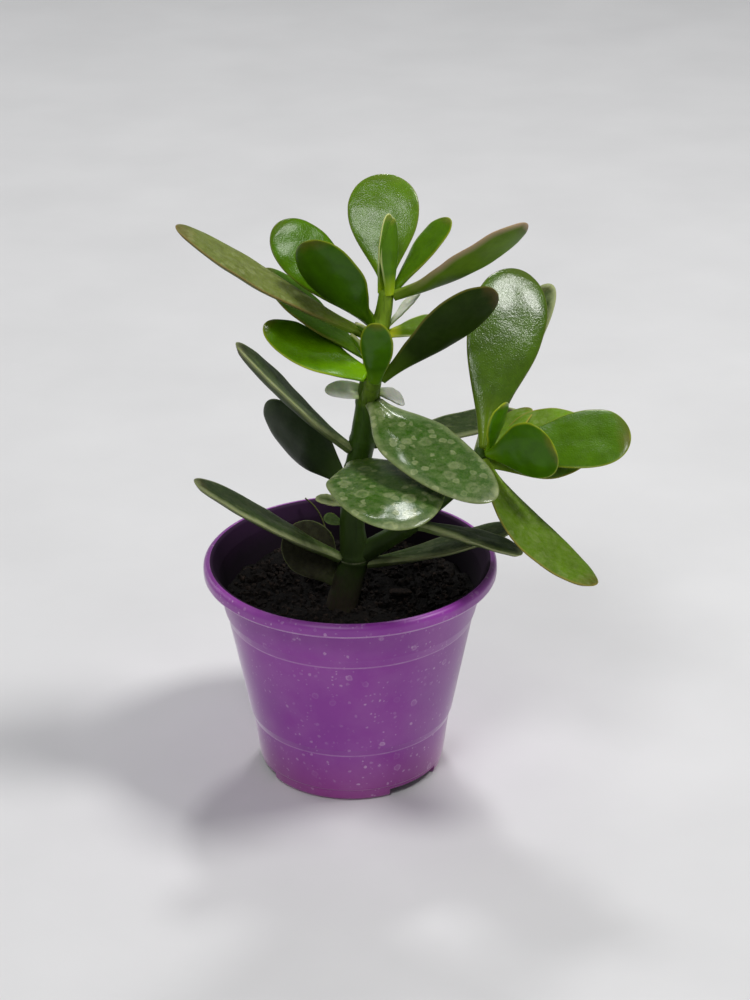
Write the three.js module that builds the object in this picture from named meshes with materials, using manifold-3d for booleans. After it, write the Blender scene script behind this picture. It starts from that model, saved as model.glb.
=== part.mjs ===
// A young jade plant (Crassula ovata) growing in a 12 cm plastic nursery pot.
// Millimetres, +Z up. The origin is the middle of the pot's flat underside, and -Y is the front.
// Angles are in degrees: an azimuth of 0 points along +X and 90 along +Y, and a rise of 90 points
// straight up.
import * as THREE from "three";
import { mergeVertices } from "three/addons/utils/BufferGeometryUtils.js";
import Module from "manifold-3d";

const wasm = await Module();
wasm.setup();

const GAP = 0.3; // clearance where one piece is seated on another

// Pot: thin moulded plastic with a rolled rim, two shallow steps round the wall and drain slots at the foot.
const RIM_RADIUS = 60;
const RIM_FALL = 5; // height of the rolled rim
const POT_HEIGHT = 93;
const POT_SIDES = 56;
const WALL = 1.5;
const FLOOR = 1.8;
const FOOT_RADIUS = 38;
const UPPER_STEP = { height: 69.6, radius: 51.2 };
const LOWER_STEP = { height: 23.5, radius: 41.9 };
const STEP_DEPTH = 0.7;
const SLOT = { count: 3, firstAzimuth: -46, arc: 40, height: 3.6, depth: 5 };

// Soil: fills the pot to well below the rim, with crumbs standing out of its top.
const SOIL_LEVEL = 76;
const SOIL_RINGS = 7;
const SOIL_SIDES = 32;
const CLODS = { count: 26, smallest: 1.2, largest: 3.4 };

// Stems: points that each axis passes through, with the stem's radius there.
const MAIN_STEM = [
  { at: [-5, -10, 56], radius: 5.6 },
  { at: [-3.5, -9.8, 76], radius: 6.3 },
  { at: [-0.6, -9.4, 88], radius: 6.0 },
  { at: [1.6, -9, 97.5], radius: 5.9 },
  { at: [0.9, -8.6, 112], radius: 5.0 },
  { at: [2.8, -8, 134], radius: 5.0 },
  { at: [5.2, -7, 148], radius: 5.0 },
  { at: [7.5, -6, 165], radius: 4.6 },
  { at: [9.5, -4.5, 180], radius: 3.8 },
  { at: [11.7, -3.5, 193], radius: 3.6 },
  { at: [13.6, -3, 200], radius: 3.4 },
  { at: [15, -3, 209.5], radius: 2.9 },
];
const SIDE_BRANCH = [
  { at: [3, -9, 98], radius: 4.4 },
  { at: [11, -10, 103.5], radius: 4.0 },
  { at: [21.5, -12, 111.5], radius: 3.7 },
  { at: [33, -14.5, 123], radius: 3.5 },
  { at: [43, -16.5, 134], radius: 3.3 },
  { at: [52, -18.2, 148], radius: 2.7 },
];
const FRONT_SHOOT = [
  { at: [7, -6, 164], radius: 3.4 },
  { at: [8.6, -11, 171], radius: 3.2 },
  { at: [10, -15, 180], radius: 2.8 },
];
const MAIN_NODES = [97.5, 136, 148, 165, 185, 196]; // heights of the swollen leaf nodes
const SIDE_NODES = [113];
const NODE_SWELLING = { out: 0.6, spread: 1.8 };
const STEM_SIDES = 10;
const RING_STEP = 4; // spacing of the sections along a stem

// Leaves: fleshy spoons. Height is where the leaf leaves its stem, roll turns it about its own length,
// curl bends it towards its upper face over its length, swerve bends it to its left, neck is the width
// at the root, widest is where along the length it is broadest, and cup is how far the margins stand
// above the midrib.
const LEAF_DEFAULTS = { roll: 0, curl: 5, swerve: 0, neck: 5.5, widest: 0.62, cup: 1, thick: 4.5 };
const LEAF_SIDES = 8;
const STATIONS = [0, 0.13, 0.28, 0.44, 0.59, 0.72, 0.83, 0.92, 0.975];
const SMALL_STATIONS = [0, 0.25, 0.5, 0.72, 0.89, 0.975];
const SMALL_LENGTH = 20; // leaves shorter than this take the small stations
const ROOT_DEPTH = 0.8; // share of the stem's radius at which a leaf's own axis starts

const LEAVES = [
  // on the main stem, from the soil up
  { name: "leaf_at_soil", stem: "main", height: 85.5, azimuth: 163, rise: 50, length: 30, width: 22,
    roll: -52, widest: 0.58, thick: 3 },
  { name: "leaf_low_left", stem: "main", height: 97.5, azimuth: 188, rise: 31, length: 70, width: 26,
    roll: 4, neck: 7.5 },
  { name: "leaf_low_right", stem: "main", height: 95, azimuth: -4, rise: 10, length: 66, width: 25,
    roll: -8, curl: 9, swerve: 16 },
  { name: "leaf_trunk_tiny", stem: "main", height: 112.5, azimuth: 178, rise: 20, length: 8, width: 5,
    roll: -45, neck: 2, thick: 1.6 },
  { name: "leaf_trunk_pale", stem: "main", height: 121, azimuth: 180, rise: 12, length: 11.5, width: 6,
    roll: -18, neck: 3, widest: 0.5, thick: 2.2 },
  { name: "leaf_left_shaded", stem: "main", height: 130.5, azimuth: 164, rise: 37.5, length: 45,
    width: 35, roll: 58, curl: 13, swerve: -6, neck: 7, widest: 0.44 },
  { name: "leaf_front_broad", stem: "main", height: 140.6, azimuth: -76, rise: 18, length: 66,
    width: 44, roll: 2, curl: -33, neck: 13, widest: 0.51, cup: 1.5 },
  { name: "leaf_mid_left", stem: "main", height: 145, azimuth: 196, rise: 42.8, length: 67, width: 28,
    roll: -5, curl: 9, swerve: -4, cup: 2 },
  { name: "leaf_mid_right", stem: "main", height: 146.5, azimuth: 18, rise: -2, length: 65, width: 27,
    roll: -6, curl: 10, swerve: 10 },
  { name: "leaf_front_spotted", stem: "main", height: 166, azimuth: -61, rise: -14, length: 73.5,
    width: 31, roll: 6, curl: -1, swerve: 19, neck: 8, widest: 0.43 },
  { name: "leaf_pale_left", stem: "main", height: 168.5, azimuth: 181, rise: 10, length: 14, width: 8,
    roll: -40, curl: -17, neck: 7, widest: 0.35, thick: 2.4 },
  { name: "leaf_pale_right", stem: "main", height: 168.5, azimuth: 14, rise: -24, length: 12.5,
    width: 10.5, roll: 14, curl: -10, neck: 5, thick: 2.4 },
  { name: "leaf_bud_yellow", stem: "main", height: 183, azimuth: 205, rise: 58, length: 13, width: 6,
    neck: 3, thick: 2.4 },
  { name: "leaf_behind_long", stem: "main", height: 183, azimuth: 153, rise: 22, length: 54, width: 23,
    roll: 4, curl: 20, thick: 4 },
  { name: "leaf_long_left", stem: "main", height: 191.5, azimuth: 189, rise: 29, length: 88.5,
    width: 28, roll: -4, curl: 8, swerve: -5, neck: 4, widest: 0.65 },
  { name: "leaf_mid_small_right", stem: "main", height: 192, azimuth: -2, rise: 12, length: 24, width: 12,
    roll: 17, curl: 3, neck: 4.4, thick: 2.6 },
  { name: "leaf_sliver_right", stem: "main", height: 195.5, azimuth: 12, rise: 42, length: 18, width: 7,
    neck: 2.4, thick: 1.8 },
  { name: "leaf_bud_left", stem: "main", height: 192, azimuth: 225, rise: 40, length: 12, width: 5,
    neck: 2.6, thick: 2 },
  { name: "leaf_upper_left_back", stem: "main", height: 196, azimuth: 150, rise: 37, length: 54,
    width: 26, roll: -21, curl: 12, swerve: 8, widest: 0.68 },
  { name: "leaf_upper_left_front", stem: "main", height: 197, azimuth: 208, rise: 44, length: 45.5,
    width: 30.5, roll: 29, curl: 26, neck: 3, thick: 4 },
  { name: "leaf_top_right_long", stem: "main", height: 208, azimuth: -11, rise: 20.5, length: 60,
    width: 26, roll: -34, curl: 24, swerve: 2, neck: 3.6 },
  { name: "leaf_top_right_small", stem: "main", height: 208.5, azimuth: 31, rise: 44, length: 37,
    width: 13, roll: 6, curl: 0, neck: 3.4, widest: 0.69, thick: 3 },
  { name: "leaf_top_back", stem: "main", height: 209, azimuth: 92.5, rise: 57, length: 47.5, width: 28,
    roll: -6, curl: -7, neck: 3.6, widest: 0.67, thick: 4 },
  // on the shoot in front of the main stem
  { name: "leaf_shoot_small", stem: "front", height: 177, azimuth: -82, rise: 61, length: 31, width: 13,
    roll: -17, curl: 16, swerve: -8, neck: 5, thick: 2.6 },
  { name: "leaf_shoot_left", stem: "front", height: 179, azimuth: 159, rise: 9.5, length: 46, width: 23,
    roll: -12, curl: 24, neck: 9, widest: 0.56, thick: 4 },
  { name: "leaf_shoot_right", stem: "front", height: 176.5, azimuth: 8, rise: 41, length: 57, width: 25,
    roll: -63, curl: -3, swerve: 9, neck: 4, widest: 0.66, thick: 4 },
  // on the side branch
  { name: "leaf_branch_low", stem: "side", height: 114, azimuth: -20, rise: -1, length: 44, width: 22,
    roll: -14, curl: -13, swerve: 3 },
  { name: "leaf_side_far", stem: "side", height: 142.5, azimuth: 19, rise: 4, length: 49, width: 34,
    roll: 28, curl: 12, widest: 0.57 },
  { name: "leaf_side_behind", stem: "side", height: 144, azimuth: 67, rise: 34, length: 86, width: 22,
    roll: -24, curl: 0, swerve: -6, widest: 0.72 },
  { name: "leaf_side_tucked", stem: "side", height: 145, azimuth: 52, rise: 13, length: 35, width: 14,
    roll: -10, neck: 4, thick: 2.6 },
  { name: "leaf_side_hanging", stem: "side", height: 146, azimuth: -47, rise: -58, length: 70,
    width: 27, roll: -14, curl: 50, swerve: -5, widest: 0.54 },
  { name: "leaf_side_right", stem: "side", height: 146, azimuth: 0, rise: 11.5, length: 58, width: 29,
    roll: 27, curl: -2, swerve: -6, neck: 4.4, widest: 0.73, thick: 4 },
  { name: "leaf_side_upright", stem: "side", height: 147.3, azimuth: 72, rise: 60, length: 79,
    width: 31, roll: 23, curl: -24, swerve: -12, neck: 3.6, widest: 0.67, thick: 5 },
  { name: "leaf_side_round", stem: "side", height: 148, azimuth: -40, rise: 12, length: 32, width: 25,
    roll: -78, curl: 15, swerve: -8, neck: 3.6, widest: 0.66, thick: 3 },
  { name: "leaf_side_small", stem: "side", height: 148, azimuth: -26, rise: 68, length: 23, width: 15.5,
    roll: -6, curl: 12, swerve: 4, neck: 3.4, widest: 0.66, thick: 2.6 },
];

// The closed leaf pair at the tip of the main stem, and the new growth at the tip of the side branch.
const TOP_BUD = [
  {
    height: 208.5, azimuth: -52, rise: 90, length: 31, width: 9, curl: 9, swerve: 10, neck: 4.4, thick: 2.4,
  },
  { height: 208.5, azimuth: 142, rise: 92, length: 33, width: 9.5, curl: 7, neck: 4.4, thick: 2.4 },
];
const SIDE_BUD = [
  { height: 147, azimuth: 30, rise: 62, length: 8, width: 4, curl: 8, neck: 3, thick: 2 },
  { height: 147, azimuth: -5, rise: 58, length: 7, width: 4, curl: 8, neck: 3, thick: 2 },
];

const paint = (color, roughness) => new THREE.MeshStandardMaterial({ color, roughness, metalness: 0 });
const potPlastic = paint("#7a2f9e", 0.35);
const pottingSoil = paint("#2a211c", 0.95);
const youngStem = paint("#5f7d2c", 0.55);
const oldLeaf = paint("#4a6b35", 0.4);
const budLeaf = paint("#9dbb2f", 0.4);

// A closed mesh as a manifold-3d solid, and a solid as a three.js geometry.
function solidOf(geometry) {
  const bare = geometry.clone();
  bare.deleteAttribute("normal");
  bare.deleteAttribute("uv");
  const merged = mergeVertices(bare, 1e-4);
  const vertProperties = new Float32Array(merged.attributes.position.array);
  const triVerts = new Uint32Array(merged.index.array);
  return new wasm.Manifold(new wasm.Mesh({ numProp: 3, vertProperties, triVerts }));
}

function geometryOf(solid) {
  const mesh = solid.getMesh();
  const geometry = new THREE.BufferGeometry();
  geometry.setAttribute("position", new THREE.BufferAttribute(new Float32Array(mesh.vertProperties), 3));
  geometry.setIndex(new THREE.BufferAttribute(new Uint32Array(mesh.triVerts), 1));
  geometry.computeVertexNormals();
  return geometry;
}

// A cut can leave a scrap behind: only the largest body is kept.
function largestBody(solid) {
  return solid.decompose().reduce((best, body) => (body.volume() > best.volume() ? body : best));
}

// Skins a row of rings, each with the same number of points, and closes both ends on a point.
function loft(rings, start, end) {
  const sides = rings[0].length;
  const points = [start, ...rings.flat(), end];
  const at = (ring, side) => 1 + ring * sides + (side % sides);
  const faces = [];
  for (let side = 0; side < sides; side++) {
    faces.push(0, at(0, side + 1), at(0, side));
    for (let ring = 0; ring + 1 < rings.length; ring++) {
      faces.push(at(ring, side), at(ring, side + 1), at(ring + 1, side + 1));
      faces.push(at(ring, side), at(ring + 1, side + 1), at(ring + 1, side));
    }
    faces.push(points.length - 1, at(rings.length - 1, side), at(rings.length - 1, side + 1));
  }
  return new THREE.BufferGeometry().setFromPoints(points).setIndex(faces);
}

// A unit vector from an azimuth and a rise in degrees.
function direction(azimuth, rise) {
  const a = THREE.MathUtils.degToRad(azimuth);
  const e = THREE.MathUtils.degToRad(rise);
  return new THREE.Vector3(Math.cos(a) * Math.cos(e), Math.sin(a) * Math.cos(e), Math.sin(e));
}

// Pot: one lathed wall of even thickness, with the drain slots cut through its foot.
function potOutline() {
  const lip = POT_HEIGHT - RIM_FALL;
  const under = RIM_RADIUS - 5;
  const outside = [
    [0, 0],
    [FOOT_RADIUS - 2.2, 0],
    [FOOT_RADIUS - 0.7, 0.6],
    [FOOT_RADIUS, 2],
    [FOOT_RADIUS + 0.5, 5],
    [FOOT_RADIUS + 0.9, 5.4],
    [LOWER_STEP.radius - STEP_DEPTH, LOWER_STEP.height - 0.5],
    [LOWER_STEP.radius, LOWER_STEP.height + 0.5],
    [UPPER_STEP.radius - STEP_DEPTH, UPPER_STEP.height - 0.6],
    [UPPER_STEP.radius, UPPER_STEP.height + 0.6],
    [under, lip - 0.6],
    [RIM_RADIUS - 0.8, lip - 0.4],
    [RIM_RADIUS, lip + 0.6],
    [RIM_RADIUS, lip + 2],
    [RIM_RADIUS - 0.7, POT_HEIGHT - 0.8],
    [RIM_RADIUS - 1.8, POT_HEIGHT],
    [RIM_RADIUS - 3, POT_HEIGHT - 0.3],
    [RIM_RADIUS - 3.6, POT_HEIGHT - 1.6],
  ];
  const inside = [
    [under - WALL, lip - 1.6],
    [UPPER_STEP.radius - WALL, UPPER_STEP.height],
    [LOWER_STEP.radius - WALL, LOWER_STEP.height],
    [FOOT_RADIUS - WALL, FLOOR + 1.2],
    [FOOT_RADIUS - WALL - 1.2, FLOOR],
    [0, FLOOR],
  ];
  return [...outside, ...inside].map(([radius, height]) => new THREE.Vector2(radius, height));
}

// Turns a lathe, whose axis is +Y, so that its axis is +Z.
function lathe(outline, sides) {
  return new THREE.LatheGeometry(outline, sides).rotateX(Math.PI / 2);
}

function drainSlot(azimuth) {
  const half = THREE.MathUtils.degToRad(SLOT.arc / 2);
  const middle = THREE.MathUtils.degToRad(azimuth);
  const shape = new THREE.Shape();
  shape.absarc(0, 0, FOOT_RADIUS + 4, middle - half, middle + half, false);
  shape.absarc(0, 0, FOOT_RADIUS - SLOT.depth, middle + half, middle - half, true);
  shape.closePath();
  const depth = SLOT.height + 1;
  const block = new THREE.ExtrudeGeometry(shape, { depth, bevelEnabled: false, curveSegments: 10 });
  return solidOf(block.translate(0, 0, -1));
}

function makePot() {
  let pot = solidOf(lathe(potOutline(), POT_SIDES));
  for (let k = 0; k < SLOT.count; k++) {
    pot = pot.subtract(drainSlot(SLOT.firstAzimuth + (k * 360) / SLOT.count));
  }
  return pot;
}

// Soil: a plug inside the wall, with an uneven top and crumbs sunk halfway into it.
function soilHeight(x, y) {
  const swell = 1.3 * Math.sin(0.11 * x + 1.3) * Math.cos(0.09 * y);
  const ripple = 0.8 * Math.sin(0.23 * x + 0.17 * y + 2);
  return SOIL_LEVEL + swell + ripple + 0.5 * Math.sin(0.41 * x - 0.37 * y);
}

function wallRadius(height) {
  const rise = (height - LOWER_STEP.height) / (UPPER_STEP.height - LOWER_STEP.height);
  return THREE.MathUtils.lerp(LOWER_STEP.radius, UPPER_STEP.radius, rise) - WALL;
}

function makeSoil(stemHole) {
  const ring = (radius, height) =>
    Array.from({ length: SOIL_SIDES }, (_, k) => {
      const turn = (2 * Math.PI * k) / SOIL_SIDES;
      const x = radius * Math.cos(turn);
      const y = radius * Math.sin(turn);
      return new THREE.Vector3(x, y, height ?? soilHeight(x, y));
    });
  const top = wallRadius(SOIL_LEVEL) - 2 * GAP;
  const bottom = FLOOR + GAP;
  const rings = [
    ring(FOOT_RADIUS - WALL - 2, bottom),
    ring(FOOT_RADIUS - WALL - 2 * GAP, bottom + 2.5),
    ring(LOWER_STEP.radius - WALL - 2 * GAP, LOWER_STEP.height),
  ];
  for (let k = SOIL_RINGS; k > 0; k--) {
    rings.push(ring((top * k) / SOIL_RINGS));
  }
  const middle = new THREE.Vector3(0, 0, soilHeight(0, 0));
  let soil = solidOf(loft(rings, new THREE.Vector3(0, 0, bottom), middle));
  const stem = new THREE.Vector2(MAIN_STEM[1].at[0], MAIN_STEM[1].at[1]);
  for (let k = 0; k < CLODS.count; k++) {
    const turn = k * 2.39996; // the golden angle spreads the crumbs evenly
    const out = (top - 5) * Math.sqrt((k + 0.5) / CLODS.count);
    const size = THREE.MathUtils.lerp(CLODS.smallest, CLODS.largest, (0.5 + 0.5 * Math.sin(7.3 * k)) ** 2);
    const place = new THREE.Vector2(out * Math.cos(turn), out * Math.sin(turn));
    if (place.distanceTo(stem) > MAIN_STEM[1].radius + size + 1) {
      const clod = new THREE.IcosahedronGeometry(size, 0).rotateZ(k).rotateX(1.7 * k).scale(1, 1, 0.7);
      soil = soil.add(solidOf(clod.translate(place.x, place.y, soilHeight(place.x, place.y))));
    }
  }
  return largestBody(soil.subtract(stemHole));
}

// Stems: round sections along a smooth curve, swollen a little at each leaf node.
class Stem {
  constructor(points, nodes) {
    this.curve = new THREE.CatmullRomCurve3(points.map((p) => new THREE.Vector3(...p.at)));
    this.radii = points.map((p) => p.radius);
    this.heights = points.map((p) => p.at[2]);
    this.nodes = nodes;
  }

  radiusAt(height) {
    const last = this.heights.length - 2;
    const k = Math.min(Math.max(this.heights.findLastIndex((h) => h <= height), 0), last);
    const share = (height - this.heights[k]) / (this.heights[k + 1] - this.heights[k]);
    const plain = THREE.MathUtils.lerp(this.radii[k], this.radii[k + 1], THREE.MathUtils.clamp(share, 0, 1));
    const swell = (node) => Math.exp(-(((height - node) / NODE_SWELLING.spread) ** 2));
    return plain + NODE_SWELLING.out * this.nodes.reduce((sum, node) => sum + swell(node), 0);
  }

  // The point of the axis at a height, by halving: every stem climbs all the way.
  pointAt(height) {
    let low = 0;
    let high = 1;
    for (let k = 0; k < 24; k++) {
      const middle = (low + high) / 2;
      if (this.curve.getPoint(middle).z < height) low = middle;
      else high = middle;
    }
    return this.curve.getPoint(low);
  }

  // The stem as a solid, grown by a margin all round.
  solid(margin = 0) {
    const count = Math.round(this.curve.getLength() / RING_STEP);
    const rings = [];
    for (let k = 0; k <= count; k++) {
      const centre = this.curve.getPointAt(k / count);
      const along = this.curve.getTangentAt(k / count);
      const across = new THREE.Vector3(0, -1, 0).cross(along).normalize();
      const up = new THREE.Vector3().crossVectors(along, across);
      const radius = this.radiusAt(centre.z) + margin;
      const round = (turn) => [radius * Math.cos(turn), radius * Math.sin(turn)];
      rings.push(ringOf(STEM_SIDES, centre, across, up, round));
    }
    const foot = this.curve.getPointAt(0).addScaledVector(this.curve.getTangentAt(0), -margin - 0.5);
    const tip = this.curve.getPointAt(1).addScaledVector(this.curve.getTangentAt(1), margin + 1.2);
    return solidOf(loft(rings, foot, tip));
  }
}

function ringOf(sides, centre, across, up, section) {
  return Array.from({ length: sides }, (_, k) => {
    const [x, y] = section((2 * Math.PI * k) / sides);
    return centre.clone().addScaledVector(across, x).addScaledVector(up, y);
  });
}

// Leaf: half its width at a share s of its length, rising from the neck and rounding off at the tip.
function halfWidth(leaf, s) {
  const half = leaf.width / 2;
  const neck = leaf.neck / 2;
  if (s < leaf.widest) {
    return neck + (half - neck) * (0.5 - 0.5 * Math.cos((Math.PI * s) / leaf.widest)) ** 0.85;
  }
  return half * Math.sqrt(1 - ((s - leaf.widest) / (1 - leaf.widest)) ** 2.3);
}

function halfThickness(leaf, s) {
  return (leaf.thick / 2) * Math.sqrt(1 - ((s - 0.35) / 0.68) ** 4);
}

// A leaf as a solid, grown by a margin all round.
function leafSolid(given, stem, margin = 0) {
  const leaf = { ...LEAF_DEFAULTS, ...given };
  const along = direction(leaf.azimuth, leaf.rise);
  const across = direction(leaf.azimuth + 90, 0).applyAxisAngle(along, THREE.MathUtils.degToRad(leaf.roll));
  const up = new THREE.Vector3().crossVectors(along, across);
  const centre = stem.pointAt(leaf.height);
  centre.addScaledVector(direction(leaf.azimuth, 0), ROOT_DEPTH * stem.radiusAt(leaf.height));
  const root = centre.clone();
  const rings = [];
  let before = 0;
  const bend = (share) => {
    const curl = THREE.MathUtils.degToRad(leaf.curl) * share;
    const swerve = THREE.MathUtils.degToRad(leaf.swerve) * share;
    along.applyAxisAngle(across, -curl);
    up.applyAxisAngle(across, -curl);
    along.applyAxisAngle(up, swerve);
    across.applyAxisAngle(up, swerve);
  };
  const walk = (s) => {
    const step = s - before;
    bend(step / 2);
    centre.addScaledVector(along, leaf.length * step);
    bend(step / 2);
    before = s;
  };
  for (const s of leaf.length < SMALL_LENGTH ? SMALL_STATIONS : STATIONS) {
    walk(s);
    const half = halfWidth(leaf, s) + margin;
    const thick = halfThickness(leaf, s) + margin;
    const lift = leaf.cup * ((2 * halfWidth(leaf, s)) / leaf.width) ** 2;
    const section = (turn) => [half * Math.cos(turn), thick * Math.sin(turn) + lift * Math.cos(turn) ** 2];
    rings.push(ringOf(LEAF_SIDES, centre, across, up, section));
  }
  walk(1);
  return solidOf(loft(rings, root, centre.clone().addScaledVector(along, margin)));
}

// Putting the plant together: stems first, then each leaf cut back to a clearance round what is there.
const stems = {
  main: new Stem(MAIN_STEM, MAIN_NODES),
  side: new Stem(SIDE_BRANCH, SIDE_NODES),
  front: new Stem(FRONT_SHOOT, []),
};
const jadePlant = new THREE.Group();
const taken = []; // the clearances of the pieces already placed

function place(name, solid, material) {
  const mesh = new THREE.Mesh(geometryOf(solid), material);
  mesh.name = name;
  jadePlant.add(mesh);
}

function clearOfTaken(solid) {
  return largestBody(taken.reduce((left, piece) => left.subtract(piece), solid));
}

place("pot", makePot(), potPlastic);
place("soil", makeSoil(stems.main.solid(GAP)), pottingSoil);

for (const [key, name] of [["main", "stem_main"], ["side", "stem_side"], ["front", "stem_front"]]) {
  place(name, clearOfTaken(stems[key].solid()), youngStem);
  taken.push(stems[key].solid(GAP));
}

for (const [name, pair, stem] of [["bud_top", TOP_BUD, stems.main], ["bud_side", SIDE_BUD, stems.side]]) {
  const grown = (margin) => pair.map((leaf) => leafSolid(leaf, stem, margin)).reduce((a, b) => a.add(b));
  place(name, clearOfTaken(grown(0)), budLeaf);
  taken.push(grown(GAP));
}

for (const leaf of LEAVES) {
  place(leaf.name, clearOfTaken(leafSolid(leaf, stems[leaf.stem])), oldLeaf);
  taken.push(leafSolid(leaf, stems[leaf.stem], GAP));
}

export default jadePlant;
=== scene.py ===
# A young jade plant in a purple nursery pot. Lengths are in millimetres unless a name says otherwise,
# +Z is up, and the origin is the middle of the pot's underside.
import math
from dataclasses import dataclass

import bmesh
import bpy
import numpy as np
from mathutils import Matrix, Vector, noise


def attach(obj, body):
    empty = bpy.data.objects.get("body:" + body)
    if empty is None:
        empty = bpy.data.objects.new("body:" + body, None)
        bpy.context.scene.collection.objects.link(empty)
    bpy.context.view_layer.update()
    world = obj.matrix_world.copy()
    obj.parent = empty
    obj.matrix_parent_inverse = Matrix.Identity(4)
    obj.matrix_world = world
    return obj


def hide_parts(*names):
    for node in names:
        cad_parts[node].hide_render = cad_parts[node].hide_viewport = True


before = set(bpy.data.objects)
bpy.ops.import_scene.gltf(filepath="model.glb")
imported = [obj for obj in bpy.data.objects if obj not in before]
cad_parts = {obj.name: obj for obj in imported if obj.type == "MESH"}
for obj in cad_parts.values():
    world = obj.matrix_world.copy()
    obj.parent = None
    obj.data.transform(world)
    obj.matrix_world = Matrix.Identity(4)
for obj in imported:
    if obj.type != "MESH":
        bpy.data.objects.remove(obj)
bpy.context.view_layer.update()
MM = 0.001

# ---------------------------------------------------------------------------------------------
# Pot: a thin-walled nursery pot of purple polypropylene, injection moulded in one piece, with a
# rolled rim, two shallow steps where stacked pots part, and drain slots at the foot. Water has dried
# on the outside in pale specks and rings, and soil stains the inside. The pale lines on the steps and
# part of the streaks on the rim's top are painted highlights, and the inside is also painted darker
# towards the bottom as shade.
POT_SIDES = 256
ROUNDING_STEPS = 7
POT_OUTLINE = [  # radius, height, and the radius that rounds the corner
    (0, 0, 0),
    (38.0, 0, 1.9),
    (38.5, 5.0, 0.3),
    (38.95, 5.5, 0.4),
    (41.2, 23.1, 0.5),
    (42.4, 26.3, 0.5),
    (50.5, 69.2, 0.6),
    (51.9, 73.2, 0.6),
    (54.9, 87.5, 1.0),
    (60.0, 87.6, 1.1),
    (60.0, 93.0, 2.3),
    (56.3, 93.0, 1.6),
    (53.6, 86.6, 2.5),
    (49.7, 69.6, 1.0),
    (40.4, 23.5, 1.0),
    (36.4, 1.8, 2.0),
    (0, 1.8, 0),
]
SHARP_ANGLE = 40  # degrees between faces from which an edge isn't smoothed
SLOT_COUNT = 3
SLOT_AZIMUTH = -46
SLOT_ARC = 40
SLOT_CUTS = 13
SLOT_RADII = (33.0, 45.0)  # from inside the wall's foot to well outside it
SLOT_HEIGHTS = (-2, 3.6)
PINK_HEIGHTS = (24, 1)  # where the wall starts to turn pink, and where it is pinkest
RIM_EDGE = (59.2, 88.1)  # radius and height of the rim's lower edge
RIM_TOP = (90.5, 92.5)  # where the pale streaks on the rim's rounded top, worn and partly a painted highlight, start, and where they are full
# heights of the steps, each with a pale line painted on as a highlight
STEP_HEIGHTS = (23.2, 69.3)
INNER_WALL_FOOT = 24  # the inner wall takes its stained, painted-shade material from here up, and is hidden by the soil below
STAIN_AND_SHADE_HEIGHTS = (88.5, 76)  # where the stain and the painted shade are weakest, and where they are full
POT_PURPLE = "#9c35a8"
POT_SHADE = "#86289a"
POT_PINK = "#a03f90"
# the pale of dried water and scuffs, also used for the painted highlights on the steps and the rim
WATER_MARK_AND_HIGHLIGHT = "#d3aed4"
# inner wall: a dark purple that is painted shade, and darker still for soil stain and deeper shade
WALL_PAINTED_SHADE = "#36133d"
WALL_STAIN_AND_SHADE = "#160a18"
COLOUR_MIX = {"out": 2, "data_type": "RGBA"}  # a Mix node for colours, with its inputs 0, 6 and 7


def linear(colour):
    """An sRGB hex colour as a linear RGBA tuple."""
    parts = [int(colour[k:k + 2], 16) / 255 for k in (1, 3, 5)]
    return tuple(c / 12.92 if c <= 0.04045 else ((c + 0.055) / 1.055) ** 2.4 for c in parts) + (1,)


def add_node(tree, kind, inputs=None, out=0, stops=None, **settings):
    """Adds a node, sets or links its inputs, and returns one of its outputs."""
    added = tree.nodes.new(kind)
    for key, value in settings.items():
        setattr(added, key, value)
    for key, value in (inputs or {}).items():
        if isinstance(value, bpy.types.NodeSocket):
            tree.links.new(value, added.inputs[key])
        else:
            added.inputs[key].default_value = value
    if stops:
        ramp = added.color_ramp.elements
        while len(ramp) < len(stops):
            ramp.new(0.5)
        for element, (place, colour) in zip(ramp, stops):
            element.position = place
            element.color = colour
    return added.outputs[out] if added.outputs else None


def new_material(name):
    """An empty node material, and the coordinates of the piece in millimetres."""
    material = bpy.data.materials.new(name)
    material.use_nodes = True
    tree = material.node_tree
    tree.nodes.clear()
    place = add_node(tree, "ShaderNodeTexCoord", out="Object")
    return material, tree, add_node(tree, "ShaderNodeVectorMath", {0: place, "Scale": 1 / MM},
                                    operation="SCALE")


def new_object(name, mesh, material):
    """A mesh in the scene, in one material."""
    mesh.materials.append(material)
    piece = bpy.data.objects.new(name, mesh)
    bpy.context.collection.objects.link(piece)
    return piece


def hand_over(piece, node):
    """Puts a finished piece on the part in place of its plain solid."""
    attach(piece, "root")
    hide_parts(node)


def skin(name, rings, start, end):
    """A closed smooth mesh over rings of points in mm, with each end drawn to a point."""
    count, sides = rings.shape[:2]
    points = np.vstack([start, rings.reshape(-1, 3), end]) * MM
    faces = []
    for side in range(sides):
        a = 1 + side
        b = 1 + (side + 1) % sides
        faces.append((0, b, a))
        for row in range(0, (count - 1) * sides, sides):
            faces.append((a + row, b + row, b + row + sides, a + row + sides))
        last = (count - 1) * sides
        faces.append((len(points) - 1, a + last, b + last))
    mesh = bpy.data.meshes.new(name)
    mesh.from_pydata(points.tolist(), [], faces)
    mesh.shade_smooth()
    return mesh


def finished_mesh(name, shape):
    """A bmesh as a plain mesh."""
    mesh = bpy.data.meshes.new(name)
    shape.to_mesh(mesh)
    shape.free()
    return mesh


def evaluated_mesh(piece):
    """A piece's mesh with its modifiers applied."""
    graph = bpy.context.evaluated_depsgraph_get()
    return bpy.data.meshes.new_from_object(piece.evaluated_get(graph))


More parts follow.
